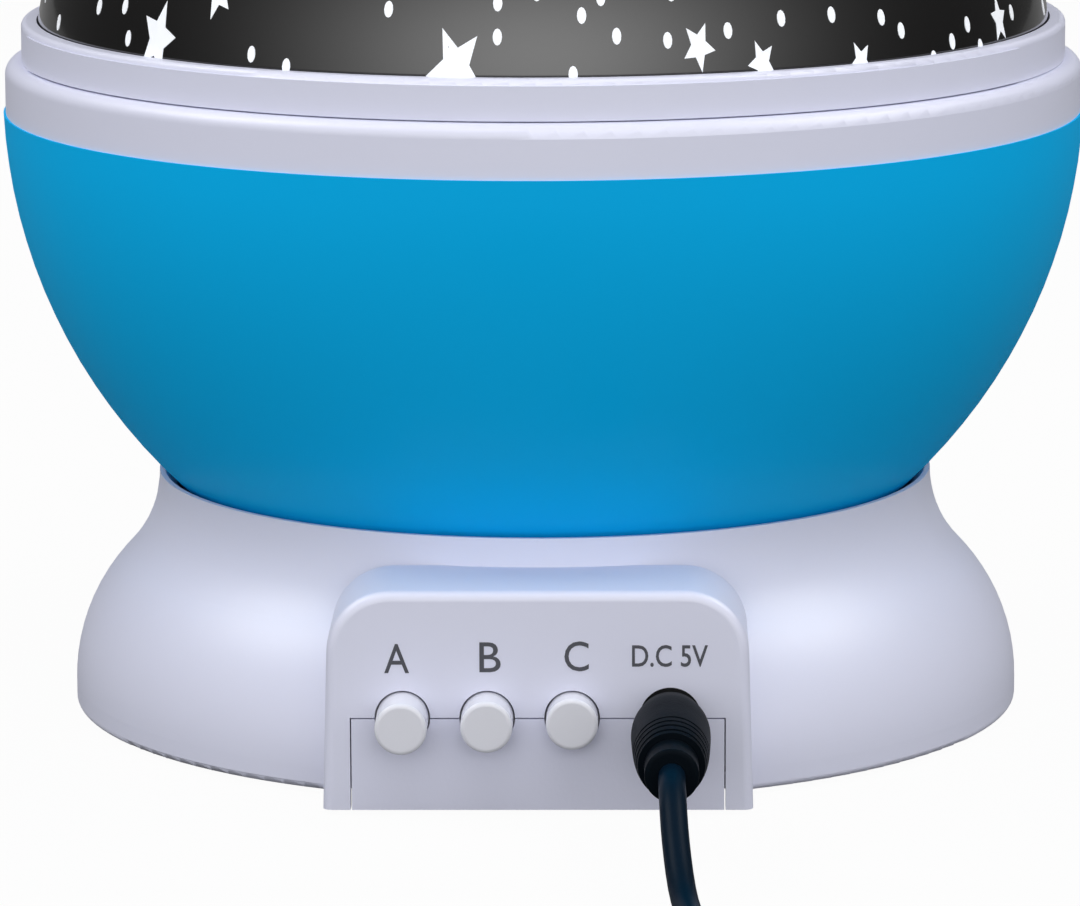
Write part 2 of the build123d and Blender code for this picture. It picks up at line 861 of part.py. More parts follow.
def make_motor():
    """Small flat-sided motor on the side of the gearbox."""
    can = Circle(motor_r) & Rectangle(2 * motor_r, 2 * motor_flat)
    turned_can = Plane.YZ * can
    start = Pos(-gearbox_half[0] - motor_length, motor_y, motor_z)
    motor = start * extrude(turned_can, motor_length)
    tail = Pos(-gearbox_half[0] - motor_length - motor_tail, motor_y, motor_z)
    return motor + tail * extrude(Plane.YZ * Circle(motor_tail_r), motor_tail)


# ---- Lamp post -----------------------------------------------------------------------------------


def make_lamp_post():
    """Hollow post screwed to the deck, with a groove for the clip above the wheel's hub."""
    top_z = lamp_board_z - holder_wall
    post = disc(post_flange_r, deck_top_z, flange_top_z) + disc(post_r, deck_top_z, top_z)
    post -= disc(post_bore_r, deck_top_z - 1, top_z + 1)
    groove_z = hub_top_z + bore_room
    post -= tube(post_r + 1, post_r - clip_groove, groove_z, groove_z + clip_wall + end_play)
    hole = disc(post_screw_r + bore_room, deck_top_z - 1, flange_top_z + 1)
    for turn in post_screw_turns:
        post -= around(turn, post_screw_ring_r) * hole
    return post


def make_post_screws():
    """Three screws down through the post's flange."""
    one = Rot(180, 0, 0) * screw(post_screw_r, post_screw_head_r, post_screw_head, post_flange + deck_wall)
    return [around(turn, post_screw_ring_r, flange_top_z) * one for turn in post_screw_turns]


def make_thrust_washer():
    """Slippery washer that carries the ball's weight on the post's flange."""
    return tube(washer_r, post_r + end_play, flange_top_z, flange_top_z + washer_wall)


def make_post_clip():
    """Open spring clip in the post's groove, which keeps the ball down."""
    low_z = hub_top_z + end_play
    clip = tube(clip_r, post_r - clip_groove + tight_gap, low_z, low_z + clip_wall)
    return clip - block(0, clip_r + 1, -clip_mouth, clip_mouth, hub_top_z, low_z + clip_wall + 1)


def make_lamp_holder():
    """Cup on top of the post that takes the lamp board."""
    floor_z = lamp_board_z - holder_wall
    cup_r = lamp_board_r + end_play + holder_wall
    cup = disc(cup_r, floor_z, lamp_board_z + lamp_board_wall)
    cup -= disc(lamp_board_r + end_play, lamp_board_z, lamp_board_z + lamp_board_wall + 1)
    cup += disc(post_r + holder_wall, floor_z - holder_socket, floor_z)
    cup -= disc(post_r + bore_room, floor_z - holder_socket - 1, floor_z)
    cup -= disc(post_bore_r, floor_z - 1, lamp_board_z + 1)
    top = cup.faces().sort_by(Axis.Z)[-1]
    return chamfer(top.edges().sort_by(SortBy.RADIUS)[-1], holder_edge)


def make_lamp_board():
    """Round board under the lamps."""
    return disc(lamp_board_r, lamp_board_z, lamp_board_z + lamp_board_wall)


def make_lamps():
    """Four round-topped lamps."""
    seat_z = lamp_board_z + lamp_board_wall
    body = disc(lamp_r, 0, lamp_height - lamp_r) + Pos(0, 0, lamp_height - lamp_r) * Sphere(lamp_r)
    body += disc(lamp_flange_r, 0, lamp_flange)
    return [around(turn, lamp_ring_r, seat_z) * body for turn in range(45, 405, 90)]


# ---- Wires ---------------------------------------------------------------------------------------


def swept(route, section, radii):
    """A section swept along straight runs joined by arcs."""
    path = FilletPolyline(*route, radius=radii)
    start = Plane(origin=path @ 0, z_dir=path % 0)
    return sweep(start * section, path=path)


def make_lamp_ribbon():
    """Flat lead from the lamps, down the post and under the deck to the board."""
    run_z = (bay_top_z + bay_wall + deck_low_z) / 2
    end_y = board_back_y + socket_size[1]
    route = ((0, 0, lamp_board_z - bore_room), (0, 0, run_z), (0, end_y, run_z))
    path = FilletPolyline(*route, radius=ribbon_bend_r)
    start = Plane(origin=path @ 0, x_dir=(1, 0, 0), z_dir=path % 0)
    return sweep(start * Rectangle(*ribbon_size), path=path)


def make_motor_leads():
    """Two wires from the motor's tail, round the battery bay, to the board."""
    tail_x = -gearbox_half[0] - motor_length - motor_tail
    side_x = -bay_half_x - bay_wall - lead_clear
    side_z = foot_low_z + lead_rise
    end_y = board_back_y + socket_size[1]
    leads = []
    for shift in (-lead_split, lead_split):
        route = (
            (tail_x + motor_tail / 2, motor_y - motor_tail_r, motor_z + shift),
            (tail_x + motor_tail / 2, motor_y - lead_out, motor_z + shift),
            (side_x, bay_high_y - lead_slope, side_z + shift),
            (side_x, bay_low_y - lead_past, side_z + shift),
            (-socket_x + shift, end_y + lead_end, socket_z + shift),
            (-socket_x + shift, end_y, socket_z + shift),
        )
        leads.append(swept(route, Circle(wire_r), lead_bend_r))
    return leads


def make_battery_leads():
    """Two wires from the bay's end contacts to the board."""
    end_y = board_back_y + socket_size[1]
    contact_x = bay_half_x - cell_r
    wire_z = bay_top_z - lead_drop
    bay_end_y = bay_low_y - bay_wall
    leads = []
    for side, (turn_share, land_share) in lead_turns.items():
        end_x = socket_x + side * lead_split
        route = (
            (side * contact_x, bay_low_y, wire_z),
            (side * contact_x, bay_end_y + turn_share * (end_y - bay_end_y), wire_z),
            (end_x, bay_end_y + land_share * (end_y - bay_end_y), socket_z),
            (end_x, end_y, socket_z),
        )
        leads.append(swept(route, Circle(wire_r), short_bend_r))
    return leads


# ---- Ball ----------------------------------------------------------------------------------------


def make_bowl():
    """Blue bowl: a sphere cut flat below, open above, and bored for the wheel's hub."""
    bowl = ball(bowl_r) & slab(bowl_bottom_z, bowl_rim_z)
    heel = bowl.edges().filter_by(GeomType.CIRCLE).sort_by(Axis.Z)[0]
    bowl = fillet(heel, bowl_heel_r)
    inside = ball(bowl_r - bowl_wall) & slab(bowl_bottom_z + bowl_wall, bowl_rim_z + 1)
    bowl -= inside
    bowl -= disc(hub_r + slip_gap, 0, bowl_bottom_z + bowl_wall + 1)
    hole = disc(hub_screw_r + hub_screw_play, 0, bowl_bottom_z + bowl_wall + 1)
    for turn in hub_screw_turns:
        bowl -= around(turn, hub_screw_ring_r) * hole
    return bowl


def make_gear_screws():
    """Three screws from inside the bowl into the wheel's web."""
    one = Rot(180, 0, 0) * screw(hub_screw_r, hub_screw_head_r, hub_screw_head, bowl_wall + wheel_web)
    seat_z = bowl_bottom_z + bowl_wall
    return [around(turn, hub_screw_ring_r, seat_z) * one for turn in hub_screw_turns]


def make_ball_ring():
    """White ring: outer band, ledge, neck for the collar and a tongue inside the bowl."""
    ledge_z = band_top_z - band_wall
    neck_out = collar_r - collar_skirt - slip_gap
    tongue_low_z = bowl_rim_z - tongue_depth
    tongue_out = sphere_r(bowl_r - bowl_wall, tongue_low_z) - slip_gap
    tongue_in = tongue_out - tongue_wall
    profile = outline(
        (band_r, bowl_rim_z),
        (band_r, band_top_z),
        (neck_out, band_top_z),
        (neck_out, neck_top_z),
        (neck_out - band_wall, neck_top_z),
        (neck_out - band_wall, ledge_z),
        (tongue_in, ledge_z - 1),
        (tongue_in, bowl_rim_z),
        (tongue_in - seat_reach, bowl_rim_z),
        (tongue_in - seat_reach, bowl_rim_z - seat_wall),
        (tongue_in, bowl_rim_z - seat_wall),
        (tongue_in, tongue_low_z),
        (tongue_out, tongue_low_z),
        (tongue_out, bowl_rim_z),
    )
    ring = turned(*profile)
    crest = [e for e in ring.edges().filter_by(GeomType.CIRCLE) if abs(e.radius - band_r) < 0.01]
    ring = fillet(max(crest, key=lambda e: e.center().Z), band_edge_r)
    for turn in range(0, 360, 360 // lug_count):
        half = lug_width / 2 + slip_gap
        notch = block(-2 * band_wall, band_wall, -half, half, band_top_z, neck_top_z + 1)
        ring -= around(turn + 90, neck_out) * notch
    return ring


def make_reflector():
    """White plate that closes the bowl below the dome, crowned towards the lamps."""
    tongue_out = sphere_r(bowl_r - bowl_wall, bowl_rim_z - tongue_depth) - slip_gap
    rim_r = tongue_out - tongue_wall - slip_gap
    middle_r = (rim_r + reflector_hole_r) / 2
    low_z = bowl_rim_z
    middle_z = low_z + reflector_swell * reflector_rise
    crown_z = low_z + reflector_rise
    top = ThreePointArc(
        (rim_r, low_z + reflector_wall),
        (middle_r, middle_z + reflector_wall),
        (reflector_hole_r, crown_z + reflector_wall),
    )
    under = ThreePointArc((reflector_hole_r, crown_z), (middle_r, middle_z), (rim_r, low_z))
    inner = Line(top @ 1, under @ 0)
    outer = Line(under @ 1, top @ 0)
    return turned(top, inner, under, outer)


# ---- Dome ----------------------------------------------------------------------------------------


def make_dome_collar():
    """Upper band: skirt, lip over the dome's flange, two proud grip arcs and three lugs."""
    skirt_in = collar_r - collar_skirt
    low_z = band_top_z + end_play
    profile = outline(
        (skirt_in, low_z),
        (collar_r, low_z),
        (collar_r, collar_top_z),
        (lip_r, collar_top_z),
        (lip_r, collar_top_z - collar_lip),
        (skirt_in, collar_top_z - collar_lip),
    )
    collar = turned(*profile)
    crest = [e for e in collar.edges().filter_by(GeomType.CIRCLE) if e.center().Z > collar_top_z - 0.01]
    collar = fillet(max(crest, key=lambda e: e.radius), collar_edge_r)
    grip_low = low_z + end_play
    grip_high = collar_top_z - collar_edge_r
    grip = Plane.XZ * Pos(collar_r - grip_root, grip_low) * Rectangle(
        grip_root + grip_step, grip_high - grip_low, align=(Align.MIN, Align.MIN)
    )
    for half_turn in (0, 180):
        start = Rot(0, 0, grip_middle - grip_arc / 2 + half_turn) * grip
        collar += revolve(start, Axis.Z, grip_arc)
    for turn in range(0, 360, 360 // lug_count):
        lug_z = (low_z, dome_floor_z - bore_room)
        lug = block(-lug_reach, end_play, -lug_width / 2, lug_width / 2, *lug_z)
        collar += around(turn + 90, skirt_in) * lug
    return collar


def make_dome_lens():
    """Clear dome under the print, with a flange that the collar's lip holds."""
    flange_top_z_dome = dome_floor_z + dome_flange
    lens = ball(lens_r) & slab(dome_floor_z, ball_z + dome_r + 1)
    lens += disc(lens_flange_r, dome_floor_z, flange_top_z_dome)
    return lens - ball(lens_r - lens_wall)


def star_cutter(turn, elevation, tip_r, lean):
    """A five-pointed bar that points from the ball's centre outwards, turned from the front."""
    corners = []
    for step in range(2 * star_points):
        reach = tip_r if step % 2 == 0 else tip_r * star_waist
        angle = radians(90 + lean + 180 / star_points * step)
        corners.append((reach * cos(angle), star_stretch * reach * sin(angle)))
    star = extrude(Plane.XZ * make_face(Polyline(*corners, close=True).edges()), star_cut)
    aimed = Pos(0, 0, ball_z) * Rot(0, 0, turn) * Rot(-elevation, 0, 0)
    return aimed * Pos(0, -dome_r + star_cut / 2, 0) * star


def star_places():
    """Every star: turn from the front, elevation, tip radius and lean."""
    places = []
    for turn, rise, tip_r, lean in front_stars:
        places.append((turn, degrees(asin(rise / dome_r)), tip_r, lean))
    back_elevation = degrees(asin(back_star_rise / dome_r))
    for count, turn in enumerate(back_star_turns):
        sway = star_sway * (count % 2)
        places.append((turn, back_elevation + sway, star_r, back_star_lean * count))
    for row, (elevation, stars) in enumerate(star_rows):
        for count in range(stars):
            turn = 360 * (count + 0.5 * (row % 2)) / stars
            sway = star_sway * sin(star_sway_beat * count + row)
            tip_r = star_r * (1 + star_swell * sin(star_swell_beat * count + 2 * row))
            places.append((turn, elevation + sway, tip_r, star_lean * count))
    return places


def make_star_mask():
    """The dome's opaque skin, pierced by star windows."""
    low_z = dome_floor_z + dome_flange + bore_room
    shell = ball(dome_r) & slab(low_z, ball_z + dome_r + 1)
    shell -= ball(dome_r - mask_wall)
    above_lip = slab(low_z + mask_rim, ball_z + dome_r + 1)
    windows = [star_cutter(*place) & above_lip for place in star_places()]
    return shell - windows


# ---- Power lead ----------------------------------------------------------------------------------


def make_dc_plug():
    """Moulded plug: slim neck, two stepped bands, a belly with grip grooves, and a collar at the cord."""
    length = plug_y - plug_end_y
    front = plug_y - panel_y + plug_shoulder
    waist = length - plug_tail
    belly = (front + waist) / 2
    sides = [
        (plug_waist_r, waist),
        (plug_tail_r, waist),
        (plug_tail_r, length),
        (0, length),
        (0, 0),
        (plug_neck_r, 0),
        (plug_neck_r, front),
        (plug_front_r, front),
    ]
    for set_back, radius in plug_bands:
        sides += [(radius, front + set_back), (radius + plug_band_step, front + set_back)]
    swell = Spline(
        sides[-1],
        (plug_belly_r, belly),
        sides[0],
        tangents=((plug_swell, 1), (-plug_swell, 1)),
    )
    plug = turned(swell, *Polyline(*sides).edges())
    plug = fillet(plug.edges().filter_by(GeomType.CIRCLE).sort_by(Axis.Z)[-1], plug_edge_r)
    for count in range(plug_groove_count):
        height = waist - plug_groove_set - plug_groove_step * count
        rise = (height - belly) / (waist - belly)
        root_r = plug_belly_r - (plug_belly_r - plug_waist_r) * rise**2 - plug_groove
        plug -= tube(plug_belly_r + 1, root_r, height, height + plug_groove_width)
    plug -= disc(barrel_r + tight_gap, -1, barrel_root)
    return Pos(jack_x, plug_y, split_z) * Rot(90, 0, 0) * plug


def make_plug_barrel():
    """Metal barrel that stands in the power socket."""
    length = barrel_root + barrel_length
    barrel = disc(barrel_r, 0, length) - disc(barrel_bore_r, barrel_root + 1, length + 1)
    return Pos(jack_x, plug_y - barrel_root, split_z) * Rot(-90, 0, 0) * barrel


def corner_radii(route):
    """The radius of the arc at each inner corner of a cord's route."""
    points = [Vector(*point) for point in route]
    radii = []
    for before, here, after in zip(points, points[1:], points[2:]):
        run_in = here - before
        run_out = after - here
        half_turn = radians(run_in.get_angle(run_out)) / 2
        radii.append(arc_share * min(run_in.length, run_out.length) / tan(half_turn))
    return radii


def make_cord(route, name):
    """A round cord along its route. Prints the arcs' radii."""
    radii = corner_radii(route)
    print(name, "arc radii", [round(radius, 1) for radius in radii])
    cord = swept(route, Circle(cord_r), radii)
    path = FilletPolyline(*route, radius=radii)
    fill = cord.volume / (pi * cord_r**2 * path.length)
    print(name, "length", round(path.length, 1), "fill", round(fill, 4))
    return cord


def make_cord_coil():
    """The wound length, as one ring of the bundle's outer shape."""
    centre = Pos(coil_centre[0], coil_centre[1], tie_wall)
    coil = tube(coil_outer_r + cord_r, coil_inner_r - cord_r, 0, coil_height)
    coil = fillet(coil.edges().filter_by(GeomType.CIRCLE), cord_r - end_play)
    return centre * coil


def make_cord_tie():
    """A strap round the bundle, on the side towards the lamp."""
    half = tie_width / 2
    low_y = coil_centre[1] + sqrt((coil_inner_r - cord_r) ** 2 - half**2) - end_play
    high_y = coil_centre[1] + coil_outer_r + cord_r + end_play
    top_z = tie_wall + coil_height + end_play
    outer = block(-half, half, low_y - tie_wall, high_y + tie_wall, 0, top_z + tie_wall)
    outer = fillet(outer.edges().filter_by(Axis.X), tie_edge_r)
    inner = block(-half - 1, half + 1, low_y, high_y, tie_wall, top_z)
    return Pos(coil_centre[0], 0, 0) * (outer - inner)


def usb_place():
    """Where the cord enters the USB plug, with the plug's length along +X of its own frame."""
    x, y, z = tail_route[-1]
    return Pos(x, y, z) * Rot(0, 0, 180)


def make_usb_plug():
    """Moulded grip with a tapered relief at the cord."""
    length, width, height = usb_size
    grip = Pos(usb_relief + length / 2, 0, 0) * Box(length, width, height)
    grip = fillet(grip.edges().filter_by(Axis.X), usb_edge_r)
    cord_wall, grip_wall = usb_relief_walls
    relief = Rot(0, 90, 0) * Cone(cord_r + cord_wall, cord_r + grip_wall, usb_relief)
    return usb_place() * (grip + Pos(usb_relief / 2, 0, 0) * relief)


def make_usb_shell():
    """Folded metal shell of the USB plug, open at its mouth."""
    length, width, height = usb_shell_size
    start = usb_relief + usb_size[0]
    shell = Pos(start + length / 2, 0, 0) * Box(length, width, height)
    shell = fillet(shell.edges().filter_by(Axis.X), usb_shell_edge_r)
    inner_width = width - 2 * usb_shell_wall
    inner_height = height - 2 * usb_shell_wall
    shell -= Pos(start + length / 2 + 1, 0, 0) * Box(length, inner_width, inner_height)
    window = Box(*usb_window, 2)
    for side in (-1, 1):
        shell -= Pos(start + usb_window_set[0], side * usb_window_set[1], height / 2) * window
    return usb_place() * shell


def make_usb_tongue():
    """Plastic tongue that carries the contacts, against the top of the shell."""
    length, width, height = usb_shell_size
    inner_width = width - 2 * usb_shell_wall - end_play
    start = usb_relief + usb_size[0] + usb_tongue_set
    low = -height / 2 + usb_shell_wall + bore_room
    tongue = Box(usb_tongue_length, inner_width, usb_tongue_wall)
    return usb_place() * Pos(start + usb_tongue_length / 2, 0, low + usb_tongue_wall / 2) * tongue


# ---- Writing the pieces --------------------------------------------------------------------------

os.makedirs("parts", exist_ok=True)

save(make_base_housing(), "base_housing")
save(make_base_cover(), "base_cover")
save_group(make_foot_pads(), "foot_pads")
save_group(make_cover_screws(), "cover_screws")

save_group(make_battery_contacts(), "battery_contacts")
save(make_battery_door(), "battery_door")
save(make_door_screw(), "door_screw")

save(make_control_board(), "control_board")
save_group(make_push_switches(), "push_switches")
save_group(make_board_sockets(), "board_sockets")
save(make_dc_jack(), "dc_jack")
for letter in button_x:
    save(make_button(letter), f"button_{letter}")
    save(make_plunger(letter), f"plunger_{letter}")

save(make_gearbox(), "gearbox")
save_group(make_gearbox_screws(), "gearbox_screws")
save(make_motor(), "motor")
save(make_pinion_shaft(), "pinion_shaft")
save(make_drive_pinion(), "drive_pinion")
save(make_drive_gear(), "drive_gear")
save_group(make_gear_screws(), "gear_screws")

save(make_lamp_post(), "lamp_post")
save_group(make_post_screws(), "post_screws")
save(make_thrust_washer(), "thrust_washer")
save(make_post_clip(), "post_clip")
save(make_lamp_holder(), "lamp_holder")
save(make_lamp_board(), "lamp_board")
save_group(make_lamps(), "lamps")
save(make_lamp_ribbon(), "lamp_ribbon")
save_group(make_motor_leads(), "motor_leads")
save_group(make_battery_leads(), "battery_leads")

save(make_bowl(), "bowl")
save(make_ball_ring(), "ball_ring")
save(make_reflector(), "reflector")
save(make_dome_collar(), "dome_collar")
save(make_dome_lens(), "dome_lens")
save(make_star_mask(), "star_mask")

save(make_dc_plug(), "dc_plug")
save(make_plug_barrel(), "plug_barrel")
save(make_cord(cord_route, "power_cord"), "power_cord")
save(make_cord_coil(), "cord_coil")
save(make_cord_tie(), "cord_tie")
save(make_cord(tail_route, "cord_tail"), "cord_tail")
save(make_usb_plug(), "usb_plug")
save(make_usb_shell(), "usb_shell")
save(make_usb_tongue(), "usb_tongue")
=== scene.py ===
from math import asin, atan2, cos, degrees, pi, radians, sin, sqrt

import bmesh
import bpy
from mathutils import Matrix, Vector


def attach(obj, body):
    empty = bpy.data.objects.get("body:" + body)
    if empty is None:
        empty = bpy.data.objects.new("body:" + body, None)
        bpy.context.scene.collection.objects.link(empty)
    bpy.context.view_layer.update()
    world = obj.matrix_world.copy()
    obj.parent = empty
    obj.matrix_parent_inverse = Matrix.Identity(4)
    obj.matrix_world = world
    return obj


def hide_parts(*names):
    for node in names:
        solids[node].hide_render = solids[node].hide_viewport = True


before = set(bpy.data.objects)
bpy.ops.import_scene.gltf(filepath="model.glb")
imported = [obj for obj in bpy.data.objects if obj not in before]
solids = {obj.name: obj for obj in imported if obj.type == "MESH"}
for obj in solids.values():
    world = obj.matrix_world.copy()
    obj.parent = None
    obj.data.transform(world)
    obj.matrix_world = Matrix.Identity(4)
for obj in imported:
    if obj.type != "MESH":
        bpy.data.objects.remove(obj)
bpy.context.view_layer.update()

scene = bpy.context.scene


# ---- Studio --------------------------------------------------------------------------------------
# A long-lens camera a little above the lamp, looking at its button side. The lamp stands on a pale
# sheet in a broad frontal light, under an overhead box, two side ones and two weak rear ones.

camera_pitch = radians(10.741)
camera_roll = radians(-0.236)
camera_turn = Matrix.Rotation(radians(0.911), 4, "Z")
camera_place = camera_turn @ Vector((-0.000582, -0.75, 0.17237))

camera_data = bpy.data.cameras.new("camera")
camera_data.sensor_width = 36.0
camera_data.lens = 208.52
camera_data.clip_start = 0.01
camera_data.dof.use_dof = False
camera = bpy.data.objects.new("camera", camera_data)
scene.collection.objects.link(camera)
camera.matrix_world = (
    Matrix.Translation(camera_place)
    @ camera_turn
    @ Matrix.Rotation(pi / 2 - camera_pitch, 4, "X")
    @ Matrix.Rotation(camera_roll, 4, "Z")
)
scene.camera = camera
scene.view_settings.view_transform = "Standard"

box_aim = Vector((0, 0, 0.07))


def soft_box(name, place, size, power):
    """A rectangular light of so many watts that faces the middle of the lamp."""
    data = bpy.data.lights.new(name, "AREA")
    data.shape = "RECTANGLE"
    data.size, data.size_y = size
    data.energy = power
    box = bpy.data.objects.new(name, data)
    scene.collection.objects.link(box)
    look = (box_aim - Vector(place)).to_track_quat("-Z", "Y")
    box.matrix_world = Matrix.Translation(place) @ look.to_matrix().to_4x4()


soft_box("overhead_box", (0, -0.42, 1.08), (0.9, 0.5), 2.5)
soft_box("left_top_box", (-0.76, 0.02, 0.92), (0.6, 0.6), 5.4)
soft_box("right_top_box", (0.76, 0.02, 0.92), (0.6, 0.6), 5.4)
soft_box("left_back_box", (-0.65, 0.75, 1.05), (0.8, 0.6), 0.6)
soft_box("right_back_box", (0.65, 0.75, 1.05), (0.8, 0.6), 0.6)

# The frontal light is a soft lobe of the surroundings, and the rest of them are dim. Its height and
# its spread to the sides and up are in radians.
lobe_peak = 2.6
lobe_elevation = 0.24
lobe_spread = (0.58, 0.27)
dim_level = 0.06
zenith_level = 0.2

world = bpy.data.worlds.new("studio")
scene.world = world
world.use_nodes = True
sky_tree = world.node_tree
sky = sky_tree.nodes["Background"]
sky.inputs["Color"].default_value = (1.0, 1.0, 1.0, 1.0)


def math_node(tree, operation, first, second=0.0):
    """A maths node between two values or sockets; returns its output socket."""
    node = tree.nodes.new("ShaderNodeMath")
    node.operation = operation
    for socket, value in zip(node.inputs, (first, second)):
        if isinstance(value, (int, float)):
            socket.default_value = value
        else:
            tree.links.new(value, socket)
    return node.outputs["Value"]


def connect(tree, *links):
    """Joins sockets. Each link is a node, its output, the next node and its input."""
    for source, output, target, entry in links:
        tree.links.new(source.outputs[output], target.inputs[entry])


sky_place = sky_tree.nodes.new("ShaderNodeTexCoord")
sky_axes = sky_tree.nodes.new("ShaderNodeSeparateXYZ")
connect(sky_tree, (sky_place, "Generated", sky_axes, "Vector"))
ahead = math_node(sky_tree, "MULTIPLY", sky_axes.outputs["Y"], -1.0)
turn_off = math_node(sky_tree, "ARCTAN2", sky_axes.outputs["X"], ahead)
height = math_node(sky_tree, "ARCSINE", sky_axes.outputs["Z"])
height_off = math_node(sky_tree, "SUBTRACT", height, lobe_elevation)
squares = []
for off, spread in zip((turn_off, height_off), lobe_spread):
    share = math_node(sky_tree, "DIVIDE", off, spread)
    squares.append(math_node(sky_tree, "MULTIPLY", share, share))
fall = math_node(sky_tree, "MULTIPLY", math_node(sky_tree, "ADD", *squares), -0.5)
lobe = math_node(sky_tree, "MULTIPLY", math_node(sky_tree, "EXPONENT", fall), lobe_peak)
above = math_node(sky_tree, "MAXIMUM", sky_axes.outputs["Z"], 0.0)
above_squared = math_node(sky_tree, "MULTIPLY", above, above)
zenith = math_node(sky_tree, "MULTIPLY", above_squared, zenith_level)
level = math_node(sky_tree, "ADD", math_node(sky_tree, "ADD", lobe, zenith), dim_level)
sky_tree.links.new(level, sky.inputs["Strength"])


def new_object(bm, name):
    """The finished bmesh as an object whose place is in its mesh."""
    mesh = bpy.data.meshes.new(name)
    bm.to_mesh(mesh)
    bm.free()
    made = bpy.data.objects.new(name, mesh)
    scene.collection.objects.link(made)
    return made


def new_material(name):
    """An empty node material with its principled shader: material, node tree and shader."""
    material = bpy.data.materials.new(name)
    material.use_nodes = True
    tree = material.node_tree
    return material, tree, tree.nodes["Principled BSDF"]


# The sheet throws little light back onto the lamp. It glows white to the camera, and far more
# weakly in what mirrors it.
sheet_half = 3.0
paper_grey = 0.18
paper_glow = 1.07
seen_share = 0.9
mirrored_share = 0.08

sheet_bm = bmesh.new()
bmesh.ops.create_grid(sheet_bm, x_segments=2, y_segments=2, size=sheet_half)
sheet = new_object(sheet_bm, "paper_floor")
paper, paper_tree, paper_shader = new_material("white_paper")
paper_shader.inputs["Base Color"].default_value = (paper_grey, paper_grey, paper_grey, 1)
paper_shader.inputs["Roughness"].default_value = 0.9
paper_shader.inputs["Specular IOR Level"].default_value = 0.1
paper_light = paper_tree.nodes.new("ShaderNodeEmission")
paper_light.inputs["Strength"].default_value = paper_glow
paper_mix = paper_tree.nodes.new("ShaderNodeMixShader")
paper_rays = paper_tree.nodes.new("ShaderNodeLightPath")
glossy_ray = paper_rays.outputs["Is Glossy Ray"]
mirrored = math_node(paper_tree, "MAXIMUM", glossy_ray, paper_rays.outputs["Is Transmission Ray"])
glow_share = math_node(
    paper_tree,
    "ADD",
    math_node(paper_tree, "MULTIPLY", paper_rays.outputs["Is Camera Ray"], seen_share),
    math_node(paper_tree, "MULTIPLY", mirrored, mirrored_share),
)
paper_tree.links.new(glow_share, paper_mix.inputs["Fac"])
connect(
    paper_tree,
    (paper_shader, "BSDF", paper_mix, 1),
    (paper_light, "Emission", paper_mix, 2),
    (paper_mix, "Shader", paper_tree.nodes["Material Output"], "Surface"),
)
sheet.data.materials.append(paper)


# ---- Power cord ----------------------------------------------------------------------------------
# A round two-core lead in a soft blue-black jacket, 3 mm thick and 1.5 m long. It comes straight
# out of its plug, drops to the table and runs to a neat coil, wound four wide and four high.

cord_r = 0.0015
plug_end = (0.015, -0.089, 0.0112)
cord_lead = (
    plug_end,
    (0.015, -0.0935, 0.0112),
    (0.0153, -0.0995, 0.0066),
    (0.0162, -0.1075, 0.0016),
    (0.0178, -0.119, 0.0015),
    (0.0202, -0.135, 0.0015),
    (0.0213, -0.155, 0.0017),
    (0.0212, -0.169, 0.0019),
)
cord_tail = (
    (-0.0085, -0.1995, 0.0111),
    (-0.015, -0.2012, 0.0102),
    (-0.0215, -0.2026, 0.0072),
    (-0.028, -0.2035, 0.004),
    (-0.034, -0.2035, 0.004),
)
coil_centre = Vector((0, -0.18, 0.002))
coil_pitch = 0.00305
coil_outer_r = 0.021075
turn_points = 16
coil_turns = 13.25
# Where along the winding it steps sideways by one pitch, where it climbs by one, and the part of a
# turn that a step takes.
side_steps = {
    0.75: -1, 1.75: -1, 2.75: -1, 4.25: 1, 5.25: 1, 6.25: 1,
    7.75: -1, 8.75: -1, 9.75: -1, 11.25: 1, 12.25: 1,
}
climbs = (3.5, 7.0, 10.5)
step_turn = 0.25


def eased(turn, start):
    """How much of a step is done."""
    share = min(max((turn - start) / step_turn, 0), 1)
    return share * share * (3 - 2 * share)


def coil_point(count):
    """A control point of the winding, a little outside it, so that the curve has its radius."""
    turn = count / turn_points
    across = sum(way * eased(turn, at) for at, way in side_steps.items())
    up = sum(eased(turn, at) for at in climbs)
    reach = (coil_outer_r + coil_pitch * across) / cos(pi / turn_points)
    angle = -2 * pi * turn
    return coil_centre + Vector((reach * cos(angle), reach * sin(angle), coil_pitch * up))


cord_points = list(cord_lead)
cord_points += [coil_point(count) for count in range(int(coil_turns * turn_points) + 1)]
cord_points += list(cord_tail)
cord_curve = bpy.data.curves.new("power_lead", "CURVE")
cord_curve.dimensions = "3D"
cord_line = cord_curve.splines.new("NURBS")
cord_line.points.add(len(cord_points) - 1)
for point, place in zip(cord_line.points, cord_points):
    point.co = (*place, 1.0)
cord_line.order_u = 3
cord_line.use_endpoint_u = True
cord_line.resolution_u = 4
cord_curve.bevel_depth = cord_r
cord_curve.bevel_resolution = 5
cord_curve.use_fill_caps = True
cord = bpy.data.objects.new("power_lead", cord_curve)
scene.collection.objects.link(cord)


def shade(red, green, blue):
    """A colour as it shows on a screen, 0 to 255, for a shader socket."""
    steps = [value / 255 for value in (red, green, blue)]
    linear = [v / 12.92 if v <= 0.04045 else ((v + 0.055) / 1.055) ** 2.4 for v in steps]
    return (*linear, 1.0)


def add_node(tree, kind, **values):
    """A node with its sockets set by name, and its own settings by name after set_."""
    node = tree.nodes.new(kind)
    for key, value in values.items():
        if key.startswith("set_"):
            setattr(node, key.removeprefix("set_"), value)
        else:
            node.inputs[key.replace("_", " ")].default_value = value
    return node


